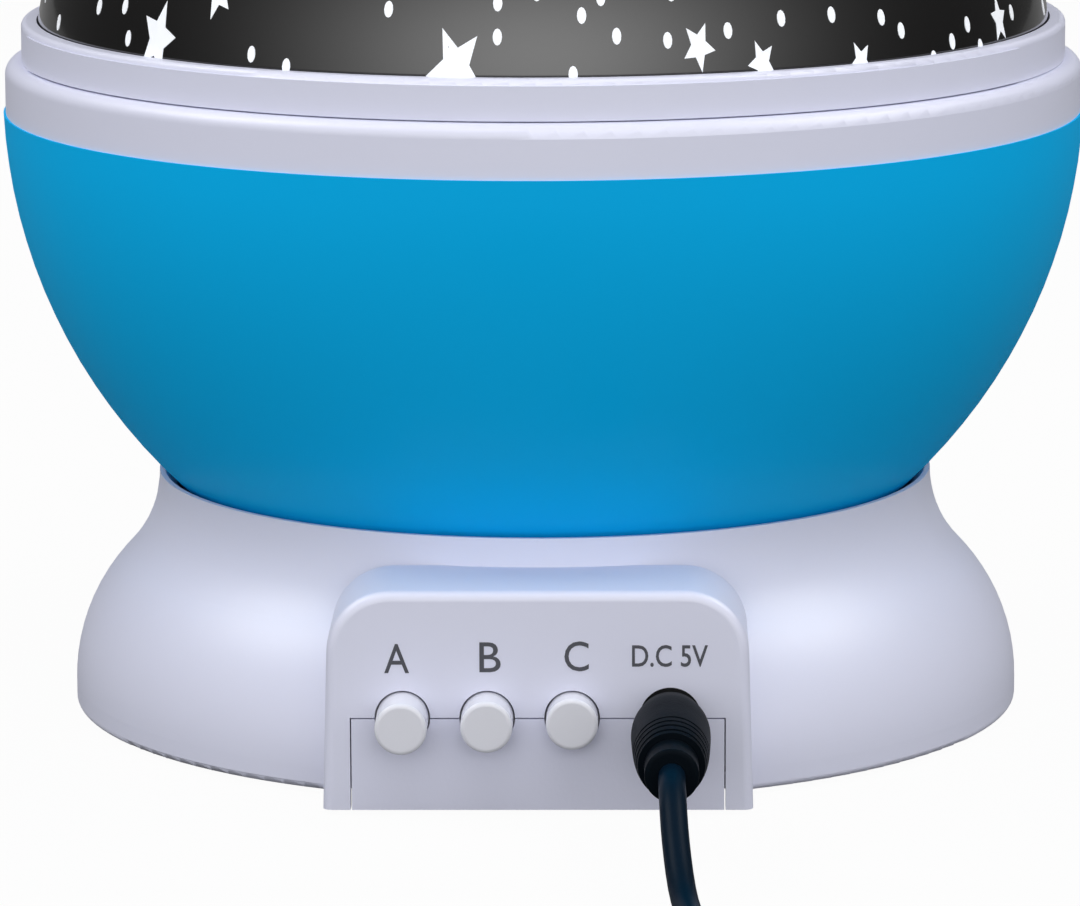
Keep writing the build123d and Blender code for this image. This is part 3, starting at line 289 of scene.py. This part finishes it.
def make_group(name, inputs, outputs):
    """A node group with named sockets: tree, its input node and its output node."""
    tree = bpy.data.node_groups.new(name, "ShaderNodeTree")
    kinds = {"value": "NodeSocketFloat", "colour": "NodeSocketColor", "vector": "NodeSocketVector"}
    for direction, sockets in (("INPUT", inputs), ("OUTPUT", outputs)):
        for label, kind in sockets:
            tree.interface.new_socket(name=label, in_out=direction, socket_type=kinds[kind])
    return tree, tree.nodes.new("NodeGroupInput"), tree.nodes.new("NodeGroupOutput")


# Moulded skin: slow colour drift, soft smudges that dull the gloss, and a fine mould grain.
skin, skin_in, skin_out = make_group(
    "moulded_skin",
    (
        ("Place", "vector"),
        ("Colour", "colour"),
        ("Drift", "value"),
        ("Roughness", "value"),
        ("Smudge", "value"),
        ("Grain", "value"),
    ),
    (("Colour", "colour"), ("Roughness", "value"), ("Height", "value")),
)
drift_noise = add_node(skin, "ShaderNodeTexNoise", Scale=38.0, Detail=2.0)
smudge_noise = add_node(skin, "ShaderNodeTexNoise", Scale=95.0, Detail=5.0, Roughness=0.6)
grain_noise = add_node(skin, "ShaderNodeTexNoise", Detail=2.0)
toned = skin.nodes.new("ShaderNodeHueSaturation")
drift_off = math_node(skin, "SUBTRACT", drift_noise.outputs["Fac"], 0.5)
lightness = math_node(skin, "MULTIPLY", drift_off, skin_in.outputs["Drift"])
smudge_off = math_node(skin, "SUBTRACT", smudge_noise.outputs["Fac"], 0.5)
dulled = math_node(skin, "MULTIPLY", smudge_off, skin_in.outputs["Smudge"])
skin_roughness = math_node(skin, "ADD", dulled, skin_in.outputs["Roughness"])
skin.links.new(math_node(skin, "ADD", lightness, 1.0), toned.inputs["Value"])
skin.links.new(skin_roughness, skin_out.inputs["Roughness"])
connect(
    skin,
    (skin_in, "Place", drift_noise, "Vector"),
    (skin_in, "Place", smudge_noise, "Vector"),
    (skin_in, "Place", grain_noise, "Vector"),
    (skin_in, "Grain", grain_noise, "Scale"),
    (skin_in, "Colour", toned, "Color"),
    (toned, "Color", skin_out, "Colour"),
    (grain_noise, "Fac", skin_out, "Height"),
)

skin_relief = 0.0002


def skinned(name, colour, roughness, drift, smudge, **others):
    """A material with the skin group: material, node tree, shader, place node and group node."""
    material, tree, shader = new_material(name)
    place = tree.nodes.new("ShaderNodeTexCoord")
    surface = add_node(
        tree,
        "ShaderNodeGroup",
        set_node_tree=skin,
        Colour=colour,
        Roughness=roughness,
        Drift=drift,
        Smudge=smudge,
        **others,
    )
    connect(
        tree,
        (place, "Object", surface, "Place"),
        (surface, "Colour", shader, "Base Color"),
        (surface, "Roughness", shader, "Roughness"),
    )
    return material, tree, shader, place, surface


def moulded(
    name, colour, roughness, drift=0.05, smudge=0.08, grain=2600.0, depth=0.02, **sockets
):
    """A moulded plastic or rubber: the skin group on a principled shader."""
    material, tree, shader, place, surface = skinned(
        name, colour, roughness, drift, smudge, Grain=grain
    )
    bump = add_node(tree, "ShaderNodeBump", Strength=depth, Distance=skin_relief)
    connect(tree, (surface, "Height", bump, "Height"), (bump, "Normal", shader, "Normal"))
    for label, value in sockets.items():
        shader.inputs[label.replace("_", " ")].default_value = value
    return material


def dress(material, *names):
    """Gives CAD pieces their finish."""
    for name in names:
        solids[name].data.materials.clear()
        solids[name].data.materials.append(material)


jacket = moulded(
    "cord_jacket",
    shade(3, 21, 36),
    0.4,
    drift=0.25,
    grain=4200.0,
    depth=0.1,
    Specular_IOR_Level=0.06,
)
cord.data.materials.append(jacket)


# ---- Plugs on the cord ---------------------------------------------------------------------------
# A soft moulded plug with two broad steps, fine grip grooves and a collar, on a nickel-plated
# barrel. At the far end is a flat charging plug in a folded steel shell, and a strap ties the coil.

plug_rubber = moulded(
    "plug_rubber",
    shade(8, 14, 20),
    0.46,
    drift=0.2,
    grain=3000.0,
    depth=0.12,
    Specular_IOR_Level=0.02,
)
dress(plug_rubber, "dc_plug", "usb_plug")

streak_scale = (3000.0, 3000.0, 160.0)
fine_relief = 0.00005


def metal(name, colour, roughness):
    """Plated or rolled metal with faint rolling streaks and tarnish."""
    material, tree, shader, place, surface = skinned(
        name, colour, roughness, drift=0.1, smudge=0.16
    )
    drawn = add_node(tree, "ShaderNodeMapping", Scale=streak_scale)
    streaks = add_node(tree, "ShaderNodeTexNoise", Scale=1.0, Detail=3.0)
    bump = add_node(tree, "ShaderNodeBump", Strength=0.12, Distance=fine_relief)
    connect(
        tree,
        (place, "Object", drawn, "Vector"),
        (drawn, "Vector", streaks, "Vector"),
        (streaks, "Fac", bump, "Height"),
        (bump, "Normal", shader, "Normal"),
    )
    shader.inputs["Metallic"].default_value = 1.0
    return material


nickel = metal("nickel_plate", shade(205, 204, 200), 0.2)
steel = metal("zinc_steel", shade(176, 178, 182), 0.32)
dress(nickel, "plug_barrel", "usb_shell")
tongue_white = moulded("tongue_white", shade(226, 226, 222), 0.45)
dress(tongue_white, "usb_tongue")

tie_cloth, tie_tree, tie_shader = new_material("tie_cloth")
tie_place = tie_tree.nodes.new("ShaderNodeTexCoord")
tie_loops = add_node(tie_tree, "ShaderNodeTexVoronoi", Scale=1500.0)
tie_tint = add_node(tie_tree, "ShaderNodeMapRange", To_Min=0.012, To_Max=0.05)
tie_colour = tie_tree.nodes.new("ShaderNodeCombineColor")
tie_bump = add_node(tie_tree, "ShaderNodeBump", Strength=0.6, Distance=skin_relief)
connect(
    tie_tree,
    (tie_place, "Object", tie_loops, "Vector"),
    (tie_loops, "Distance", tie_tint, "Value"),
    (tie_tint, "Result", tie_colour, "Red"),
    (tie_tint, "Result", tie_colour, "Green"),
    (tie_tint, "Result", tie_colour, "Blue"),
    (tie_colour, "Color", tie_shader, "Base Color"),
    (tie_loops, "Distance", tie_bump, "Height"),
    (tie_bump, "Normal", tie_shader, "Normal"),
)
tie_shader.inputs["Roughness"].default_value = 0.85
dress(tie_cloth, "cord_tie")

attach(cord, "base")
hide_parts("power_cord", "cord_coil", "cord_tail")


# ---- Foot housing --------------------------------------------------------------------------------
# One moulding in a cool lavender white with a soft sheen: a convex toe that runs up into a hollow
# neck, with the arched control panel on its front. A grained cover closes it from below.

cool_white = shade(224, 226, 245)
shell_white = moulded(
    "shell_white",
    cool_white,
    0.42,
    drift=0.015,
    smudge=0.06,
    depth=0.012,
    Specular_IOR_Level=0.95,
)
cover_white = moulded("cover_white", cool_white, 0.3, drift=0.02, grain=1900.0, depth=0.06)
dress(shell_white, "base_housing")
dress(cover_white, "base_cover", "battery_door")


# ---- Panel lettering -----------------------------------------------------------------------------
# Dark grey pad print: a letter over each button and the supply voltage over the power socket, in a
# plain upright face, a hair proud of the panel.

panel_y = -0.061
print_wall = 0.00004
ink = moulded("pad_print_grey", shade(74, 75, 84), 0.5, drift=0.2, grain=5000.0, depth=0.05)


def printed(words, name, left, right, low, high, stroke):
    """Words as a thin plate that fills a field on the panel's face."""
    letters = bpy.data.curves.new(name, "FONT")
    letters.body = words
    letters.extrude = 0.5
    letters.offset = stroke
    letters.resolution_u = 4
    source = bpy.data.objects.new(name + "_line", letters)
    scene.collection.objects.link(source)
    bpy.context.view_layer.update()
    shown = source.evaluated_get(bpy.context.evaluated_depsgraph_get())
    mesh = bpy.data.meshes.new_from_object(shown)
    bpy.data.objects.remove(source)
    bpy.data.curves.remove(letters)
    corners = [v.co for v in mesh.vertices]
    x_low, x_high = min(c.x for c in corners), max(c.x for c in corners)
    y_low, y_high = min(c.y for c in corners), max(c.y for c in corners)
    widen = (right - left) / (x_high - x_low)
    heighten = (high - low) / (y_high - y_low)
    for v in mesh.vertices:
        flat = v.co.copy()
        y = panel_y - print_wall if flat.z > 0 else panel_y
        v.co = ((flat.x - x_low) * widen + left, y, (flat.y - y_low) * heighten + low)
    bm = bmesh.new()
    bm.from_mesh(mesh)
    bmesh.ops.remove_doubles(bm, verts=bm.verts, dist=1e-7)
    bmesh.ops.recalc_face_normals(bm, faces=bm.faces)
    bpy.data.meshes.remove(mesh)
    plate = new_object(bm, name)
    plate.data.materials.append(ink)
    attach(plate, "base")


# The words, the piece's name, the field's left, right, low and high edge, and the added stroke.
for field in (
    ("A", "letter_a", -0.0173, -0.0145, 0.0164, 0.01976, 0.002),
    ("B", "letter_b", -0.00655, -0.00415, 0.0165, 0.01995, 0.002),
    ("C", "letter_c", 0.00305, 0.0058, 0.0166, 0.02005, 0.002),
    ("D.C 5V", "letters_supply", 0.01067, 0.01924, 0.0171, 0.01963, 0.008),
):
    printed(*field)


# ---- Push buttons --------------------------------------------------------------------------------
# Three round caps in a similar white, polished on their faces, each on its own switch plunger. The
# light's latching button stands furthest out and the colour button is latched in.

button_white = moulded("button_white", shade(228, 229, 238), 0.2, drift=0.02, smudge=0.05)
dress(button_white, "button_a", "button_b", "button_c")
plunger_grey = moulded("plunger_grey", shade(196, 197, 200), 0.4)
dress(plunger_grey, "plunger_a", "plunger_b", "plunger_c")


# ---- Bowl ----------------------------------------------------------------------------------------
# The lower shell of the ball, moulded in strong blue with a soft sheen. The toothed wheel is
# screwed under its flat bottom, and it turns in the foot's rim.

bowl_blue = moulded(
    "bowl_blue",
    shade(10, 181, 244),
    0.3,
    drift=0.02,
    smudge=0.05,
    depth=0.01,
    Specular_IOR_Level=0.0,
    Coat_Weight=0.12,
    Coat_Roughness=0.3,
)
dress(bowl_blue, "bowl")


# ---- White ring and dome collar ------------------------------------------------------------------
# Two stacked white bands. The lower one is clipped into the bowl's rim. The upper one, with two
# proud grip arcs, holds the dome by its flange and lifts off with it.

dress(shell_white, "ball_ring", "dome_collar")


# ---- Dome ----------------------------------------------------------------------------------------
# A clear half shell with an opaque gloss-black print outside. The print leaves five-pointed stars
# and small ovals clear. They show the white inside of the lamp, with a faint painted glow on top.

dome_centre = Vector((0, 0, 0.0753))
dome_r = 0.0613
print_low_z = 0.08325
print_in_r = 0.0609
window_proud = 0.00003

# A star's tip radius, the radius of its inner corners as a share of that, its height as a share of
# its width, and its corners.
star_r = 0.0019
star_waist = 0.46
star_stretch = 1.5
star_corners = 10
# The front's lowest row: the turn from the front, the rise above the ball's centre, the tip radius
# and the lean.
front_stars = (
    (-45.8, 0.0109, 0.0030, -14),
    (-37.5, 0.0167, 0.0022, 20),
    (-8.4, 0.0096, 0.0034, 28),
    (17.6, 0.0117, 0.00195, -28),
    (24.7, 0.0096, 0.0018, 24),
    (37.1, 0.0088, 0.0017, 28),
)
# The same row round the back: its turns, its rise, the lift of every second star and the lean that
# each adds.
back_turns = range(62, 302, 20)
back_rise = 0.0112
back_lift = 3
back_lean = 17
# The rows above: each one's elevation and number of stars, and how much these sway, differ in size
# and lean.
star_rows = ((22, 15), (35, 13), (48, 10), (61, 7), (74, 4))
row_sway, sway_step = 3, 2.4
size_sway, size_step = 0.25, 1.7
row_lean = 23

# An oval's half width and half height, its corners, and the room from its middle to a star's tips
# and to the next oval's middle.
dot_half = (0.00052, 0.00095)
dot_corners = 12
star_room = 0.0014
dot_room = 0.0022
front_dots = (
    (-69, 0.0103), (-51, 0.0104), (-32, 0.0102), (-27.5, 0.0091), (-16, 0.0159), (-4, 0.0131),
    (-58, 0.0133), (-52.5, 0.0139), (5, 0.0154), (8.7, 0.0131), (14.2, 0.0125), (21, 0.0133),
    (27.4, 0.0143), (33.8, 0.0143), (40.6, 0.0135), (43.3, 0.0118), (4, 0.0090), (51.5, 0.0098),
    (54.8, 0.0114), (56.9, 0.0086), (48, 0.0082), (65.7, 0.0116),
)
# The scatter of the others: how many are tried, the lowest rise, the highest as a share of the
# radius, how they sway round and up, and the front field that has its own.
scatter_tries = 520
scatter_low = 0.0088
scatter_high = 0.995
turn_sway, turn_step = 0.35, 5.3
rise_sway, rise_step = 0.9, 3.1
front_field_rise = 0.27
front_field_turn = 75


def elevation_at(rise):
    """The elevation in degrees of a point of the dome by its rise above the ball's centre."""
    return degrees(asin(rise / dome_r))


def outward(turn, elevation):
    """The direction from the ball's centre, turned from the front."""
    flat = cos(radians(elevation))
    around = radians(turn - 90)
    return Vector((flat * cos(around), flat * sin(around), sin(radians(elevation))))


def star_places():
    """Every star window: turn from the front, elevation, tip radius and lean."""
    places = [(turn, elevation_at(rise), tip, lean) for turn, rise, tip, lean in front_stars]
    for count, turn in enumerate(back_turns):
        elevation = elevation_at(back_rise) + back_lift * (count % 2)
        places.append((turn, elevation, star_r, back_lean * count))
    for row, (row_elevation, stars) in enumerate(star_rows):
        for count in range(stars):
            turn = 360 * (count + 0.5 * (row % 2)) / stars
            elevation = row_elevation + row_sway * sin(sway_step * count + row)
            tip = star_r * (1 + size_sway * sin(size_step * count + 2 * row))
            places.append((turn, elevation, tip, row_lean * count))
    return places


def dot_places(stars):
    """The small ovals: the front's lowest row, then an even scatter that misses the stars."""
    places = [(turn, elevation_at(rise)) for turn, rise in front_dots]
    taken = [(outward(turn, elevation), tip + star_room) for turn, elevation, tip, lean in stars]
    taken += [(outward(*place), dot_room) for place in places]
    golden = pi * (3 - sqrt(5))
    low = scatter_low / dome_r
    for count in range(scatter_tries):
        rise = low + (scatter_high - low) * (count + 0.5) / scatter_tries
        turn = degrees(count * golden + turn_sway * sin(turn_step * count)) % 360
        elevation = degrees(asin(rise)) + rise_sway * sin(rise_step * count)
        way = outward(turn, elevation)
        in_front = turn < front_field_turn or turn > 360 - front_field_turn
        if in_front and rise < front_field_rise:
            continue
        if any((way - other).length * dome_r < room for other, room in taken):
            continue
        taken.append((way, dot_room))
        places.append((turn, elevation))
    return places


def onto_sphere(verts, radius):
    """Moves points in or out to a radius about the ball's centre."""
    for v in verts:
        v.co = dome_centre + (v.co - dome_centre).normalized() * radius


def window(bm, turn, elevation, lean, corners, radius, waist, stretch):
    """One window pane through the print: a curved star or oval plate between two spheres."""
    made = bmesh.ops.create_circle(
        bm, cap_ends=True, cap_tris=True, segments=corners, radius=radius
    )
    verts = made["verts"]
    rim = [v for v in verts if v.co.length > radius / 2]
    rim.sort(key=lambda v: atan2(v.co.y, v.co.x))
    bmesh.ops.scale(bm, vec=(waist, waist, 1), verts=rim[::2])
    bmesh.ops.rotate(bm, matrix=Matrix.Rotation(radians(lean), 3, "Z"), verts=verts)
    bmesh.ops.scale(bm, vec=(1, stretch, 1), verts=verts)
    faces = list(dict.fromkeys(f for v in verts for f in v.link_faces))
    aim = outward(turn, elevation).to_track_quat("Z", "Y").to_matrix().to_4x4()
    place = Matrix.Translation(dome_centre) @ aim @ Matrix.Translation((0, 0, dome_r))
    bmesh.ops.transform(bm, matrix=place, verts=verts)
    onto_sphere(verts, dome_r + window_proud)
    inner = bmesh.ops.extrude_face_region(bm, geom=faces)["geom"]
    inner_verts = [item for item in inner if isinstance(item, bmesh.types.BMVert)]
    onto_sphere(inner_verts, print_in_r - window_proud)


print_bm = bmesh.new()
bmesh.ops.create_uvsphere(print_bm, u_segments=128, v_segments=64, radius=dome_r)
bmesh.ops.translate(print_bm, vec=dome_centre, verts=print_bm.verts)
bmesh.ops.bisect_plane(
    print_bm,
    geom=print_bm.verts[:] + print_bm.edges[:] + print_bm.faces[:],
    plane_co=(0, 0, print_low_z),
    plane_no=(0, 0, -1),
    clear_outer=True,
)
bmesh.ops.recalc_face_normals(print_bm, faces=print_bm.faces)
bmesh.ops.solidify(print_bm, geom=print_bm.faces[:], thickness=dome_r - print_in_r)
dome_print = new_object(print_bm, "dome_print")
dome_print.data.shade_smooth()

stars = star_places()
star_bm = bmesh.new()
for turn, elevation, tip, lean in stars:
    window(star_bm, turn, elevation, lean, star_corners, tip, star_waist, star_stretch)
bmesh.ops.recalc_face_normals(star_bm, faces=star_bm.faces)
star_windows = new_object(star_bm, "star_windows")

dot_bm = bmesh.new()
for turn, elevation in dot_places(stars):
    window(dot_bm, turn, elevation, 0, dot_corners, dot_half[0], 1.0, dot_half[1] / dot_half[0])
bmesh.ops.recalc_face_normals(dot_bm, faces=dot_bm.faces)
dot_windows = new_object(dot_bm, "dot_windows")

black_gloss = moulded(
    "black_gloss_print",
    shade(12, 11, 11),
    0.12,
    drift=0.2,
    smudge=0.04,
    depth=0.01,
    Specular_IOR_Level=0.42,
    Coat_Weight=1.0,
    Coat_Roughness=0.08,
)
dome_print.data.materials.append(black_gloss)
# The panes are white with a painted glow: their emission makes them shine though no lamp lights
# them.
white_pane_painted_glow = moulded(
    "white_pane_painted_glow",
    shade(240, 244, 250),
    0.3,
    drift=0.06,
    smudge=0.05,
    Emission_Color=(1.0, 1.0, 1.0, 1.0),
    Emission_Strength=0.22,
)
for panes in (star_windows, dot_windows):
    panes.data.materials.append(white_pane_painted_glow)
clear_shell = moulded(
    "clear_shell",
    shade(244, 246, 248),
    0.05,
    drift=0.02,
    smudge=0.03,
    depth=0.01,
    Transmission_Weight=0.95,
    IOR=1.49,
)
dress(clear_shell, "dome_lens")
for piece in (dome_print, star_windows, dot_windows):
    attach(piece, "dome")
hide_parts("star_mask")


# ---- Underside -----------------------------------------------------------------------------------
# Four rubber feet in their recesses, zinc screws up through the cover, and a hooked battery door
# with its captive screw over the sprung contact leaves.

foot_rubber = moulded(
    "foot_rubber", shade(48, 48, 50), 0.7, drift=0.3, smudge=0.2, grain=1500.0, depth=0.4
)
dress(foot_rubber, "foot_pads")
dress(steel, "cover_screws", "door_screw")
dress(nickel, "battery_contacts")


# ---- Gear motor and wheel ------------------------------------------------------------------------
# A small can motor on a closed gearbox hangs under the deck. Its nylon pinion drives the toothed
# wheel under the bowl.

nylon = moulded("nylon", shade(232, 229, 214), 0.42, drift=0.06, smudge=0.1, depth=0.05)
dress(nylon, "drive_gear", "drive_pinion", "thrust_washer")
case_grey = moulded("case_grey", shade(198, 199, 201), 0.45, drift=0.06, depth=0.08)
dress(case_grey, "gearbox")
dress(steel, "motor", "pinion_shaft", "gearbox_screws", "gear_screws", "post_screws", "post_clip")


# ---- Lamp post, lamps and reflector --------------------------------------------------------------
# A hollow post stands still in the turning ball and carries a small round board with four lamps. A
# white crowned plate closes the bowl below them.

dress(case_grey, "lamp_post", "lamp_holder")
reflector_white = moulded("reflector_white", shade(234, 234, 232), 0.35, drift=0.03)
dress(reflector_white, "reflector")
lamp_glass = moulded(
    "lamp_glass", shade(240, 242, 246), 0.08, drift=0.03, Transmission_Weight=0.7
)
dress(lamp_glass, "lamps")


# ---- Boards and wiring ---------------------------------------------------------------------------
# Glass-fibre boards with green lacquer over the copper tracks, black switches and socket, and thin
# insulated leads with a grey ribbon down the post.

board_green, board_tree, board_shader = new_material("lacquered_board")
board_place = board_tree.nodes.new("ShaderNodeTexCoord")
tracks = add_node(
    board_tree,
    "ShaderNodeTexBrick",
    Color1=shade(18, 92, 52),
    Color2=shade(26, 112, 62),
    Mortar=shade(10, 66, 38),
    Scale=260.0,
    Mortar_Size=0.12,
)
board_bump = add_node(board_tree, "ShaderNodeBump", Strength=0.25, Distance=fine_relief)
connect(
    board_tree,
    (board_place, "Object", tracks, "Vector"),
    (tracks, "Color", board_shader, "Base Color"),
    (tracks, "Fac", board_bump, "Height"),
    (board_bump, "Normal", board_shader, "Normal"),
)
board_shader.inputs["Roughness"].default_value = 0.35
dress(board_green, "control_board", "lamp_board")

black_case = moulded("black_case", shade(30, 30, 33), 0.4, drift=0.2, grain=2200.0, depth=0.1)
dress(black_case, "push_switches", "dc_jack")
dress(tongue_white, "board_sockets")

red_wire = moulded("red_wire", shade(176, 34, 30), 0.4, drift=0.1)
dress(red_wire, "motor_leads", "battery_leads")

ribbon, ribbon_tree, ribbon_shader = new_material("grey_ribbon")
ribbon_place = ribbon_tree.nodes.new("ShaderNodeTexCoord")
ribbon_cores = add_node(
    ribbon_tree, "ShaderNodeTexWave", set_bands_direction="X", Scale=160.0
)
ribbon_tint = add_node(
    ribbon_tree,
    "ShaderNodeMix",
    set_data_type="RGBA",
    A=shade(120, 124, 130),
    B=shade(176, 180, 186),
)
ribbon_bump = add_node(ribbon_tree, "ShaderNodeBump", Strength=0.5, Distance=skin_relief)
connect(
    ribbon_tree,
    (ribbon_place, "Object", ribbon_cores, "Vector"),
    (ribbon_cores, "Fac", ribbon_tint, "Factor"),
    (ribbon_tint, "Result", ribbon_shader, "Base Color"),
    (ribbon_cores, "Fac", ribbon_bump, "Height"),
    (ribbon_bump, "Normal", ribbon_shader, "Normal"),
)
ribbon_shader.inputs["Roughness"].default_value = 0.5
dress(ribbon, "lamp_ribbon")
